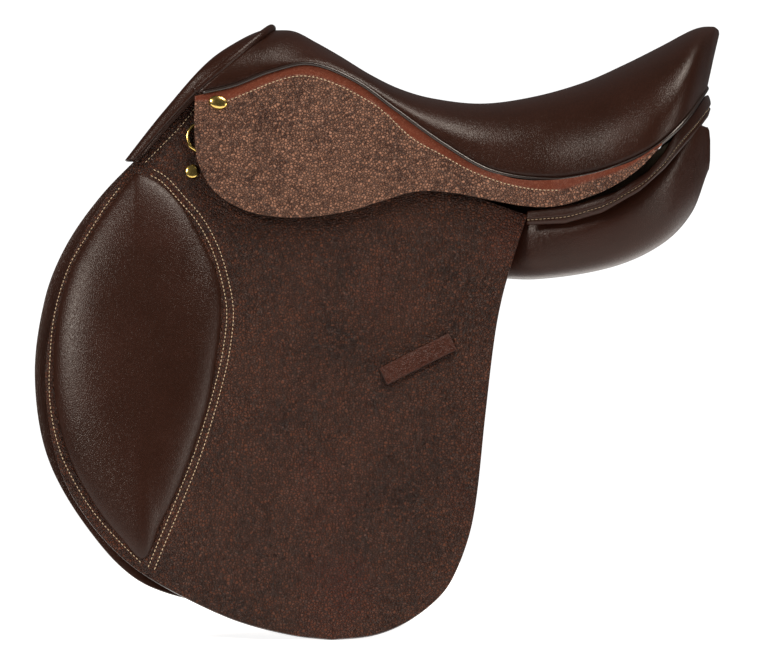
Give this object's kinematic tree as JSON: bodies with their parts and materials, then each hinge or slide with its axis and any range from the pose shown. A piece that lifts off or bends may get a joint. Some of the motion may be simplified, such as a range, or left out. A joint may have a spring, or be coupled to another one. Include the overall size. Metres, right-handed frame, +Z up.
{
  "type": "english jumping saddle",
  "caption": "Leather riding saddle with a sprung tree, padded panels, forward flaps with knee pads, skirts over stirrup bars, girth straps and brass dees.",
  "frame": {"origin": "on the centre plane, under the deepest point of the seat, at the height of the panels' underside", "axes": "+X from the pommel to the cantle, -Y to the near (left) side, +Z up"},
  "size_m": [0.5744, 0.378, 0.5117],
  "materials": {
    "tree_wood": "laminated beech, varnished",
    "steel": "forged and polished",
    "brass": "polished",
    "webbing": "woven",
    "foam": "foam",
    "flock": "wool",
    "smooth_leather": "smooth, fine grained",
    "grain_leather": "pebble grained",
    "strap_leather": "smooth"
  },
  "bodies": {
    "saddle": {"bar_rivets": "steel", "catch_pins": "steel", "dee_clip_left": "strap_leather", "dee_clip_right": "strap_leather", "flap_top_left": "grain_leather", "flap_top_right": "grain_leather", "front_facing": "smooth_leather", "girth_web_front": "webbing", "girth_web_rear": "webbing", "gullet_lining": "smooth_leather", "gullet_plate": "steel", "head_plate": "steel", "panel_cover_left": "smooth_leather", "panel_cover_right": "smooth_leather", "panel_flock_left": "flock", "panel_flock_right": "flock", "point_pocket_left": "grain_leather", "point_pocket_right": "grain_leather", "point_studs": "brass", "pommel_roll": "smooth_leather", "rear_facing": "smooth_leather", "saddle_tree": "tree_wood", "seat_cover": "smooth_leather", "seat_foam": "foam", "seat_webs": "webbing", "seat_welt_left": "smooth_leather", "seat_welt_right": "smooth_leather", "skirt_nails": "brass", "skirt_seam_left": "grain_leather", "skirt_seam_right": "grain_leather", "stirrup_bar_left": "steel", "stirrup_bar_right": "steel", "sweat_flap_left": "grain_leather", "sweat_flap_right": "grain_leather", "tree_rivets": "steel", "tree_spring_left": "steel", "tree_spring_right": "steel"},
    "flap_left": {"flap_left": "grain_leather", "knee_pad_left": "smooth_leather", "surcingle_keeper_left": "strap_leather"},
    "skirt_left": {"skirt_left": "grain_leather"},
    "dee_left": {"dee_left": "brass"},
    "bar_catch_left": {"bar_catch_left": "steel"},
    "girth_strap_1_left": {"girth_strap_1_left": "strap_leather"},
    "girth_strap_2_left": {"girth_strap_2_left": "strap_leather"},
    "girth_strap_3_left": {"girth_strap_3_left": "strap_leather"},
    "flap_right": {"flap_right": "grain_leather", "knee_pad_right": "smooth_leather", "surcingle_keeper_right": "strap_leather"},
    "skirt_right": {"skirt_right": "grain_leather"},
    "dee_right": {"dee_right": "brass"},
    "bar_catch_right": {"bar_catch_right": "steel"},
    "girth_strap_1_right": {"girth_strap_1_right": "strap_leather"},
    "girth_strap_2_right": {"girth_strap_2_right": "strap_leather"},
    "girth_strap_3_right": {"girth_strap_3_right": "strap_leather"}
  },
  "joints": [
    {"name": "flap_fold_left", "type": "hinge", "parent": "saddle", "child": "flap_left", "pos_m": [-0.1435, -0.09204, 0.0338], "axis": [-0.9447, 0.0904, 0.3151], "range_deg": [0, 75]},
    {"name": "flap_fold_right", "type": "hinge", "parent": "saddle", "child": "flap_right", "pos_m": [-0.1435, 0.09204, 0.0338], "axis": [0.9447, 0.0904, -0.3151], "range_deg": [0, 75]},
    {"name": "skirt_fold_left", "type": "hinge", "parent": "saddle", "child": "skirt_left", "pos_m": [-0.1405, -0.08363, 0.0985], "axis": [-0.9547, 0.082, 0.2859], "range_deg": [0, 60]},
    {"name": "skirt_fold_right", "type": "hinge", "parent": "saddle", "child": "skirt_right", "pos_m": [-0.1405, 0.08363, 0.0985], "axis": [0.9547, 0.082, -0.2859], "range_deg": [0, 60]},
    {"name": "dee_hinge_left", "type": "hinge", "parent": "saddle", "child": "dee_left", "pos_m": [-0.233, -0.07433, 0.1135], "axis": [0, 0.2756, 0.9613], "range_deg": [0, 12]},
    {"name": "dee_hinge_right", "type": "hinge", "parent": "saddle", "child": "dee_right", "pos_m": [-0.233, 0.07433, 0.1135], "axis": [0, 0.2756, -0.9613], "range_deg": [0, 12]},
    {"name": "catch_hinge_left", "type": "hinge", "parent": "saddle", "child": "bar_catch_left", "pos_m": [-0.157, -0.07918, 0.09515], "axis": [0, -0.9613, 0.2756], "range_deg": [0, 80]},
    {"name": "catch_hinge_right", "type": "hinge", "parent": "saddle", "child": "bar_catch_right", "pos_m": [-0.157, 0.07918, 0.09515], "axis": [0, -0.9613, -0.2756], "range_deg": [0, 80]},
    {"name": "strap_1_swing_left", "type": "hinge", "parent": "saddle", "child": "girth_strap_1_left", "pos_m": [-0.13, -0.07641, 0.0738], "axis": [0, -0.9613, 0.2756], "range_deg": [-6, 6]},
    {"name": "strap_1_swing_right", "type": "hinge", "parent": "saddle", "child": "girth_strap_1_right", "pos_m": [-0.13, 0.07641, 0.0738], "axis": [0, -0.9613, -0.2756], "range_deg": [-6, 6]},
    {"name": "strap_2_swing_left", "type": "hinge", "parent": "saddle", "child": "girth_strap_2_left", "pos_m": [-0.098, -0.07256, 0.07269], "axis": [0, -0.9613, 0.2756], "range_deg": [-6, 6]},
    {"name": "strap_2_swing_right", "type": "hinge", "parent": "saddle", "child": "girth_strap_2_right", "pos_m": [-0.098, 0.07256, 0.07269], "axis": [0, -0.9613, -0.2756], "range_deg": [-6, 6]},
    {"name": "strap_3_swing_left", "type": "hinge", "parent": "saddle", "child": "girth_strap_3_left", "pos_m": [-0.066, -0.07641, 0.0738], "axis": [0, -0.9613, 0.2756], "range_deg": [-6, 6]},
    {"name": "strap_3_swing_right", "type": "hinge", "parent": "saddle", "child": "girth_strap_3_right", "pos_m": [-0.066, 0.07641, 0.0738], "axis": [0, -0.9613, -0.2756], "range_deg": [-6, 6]}
  ]
}
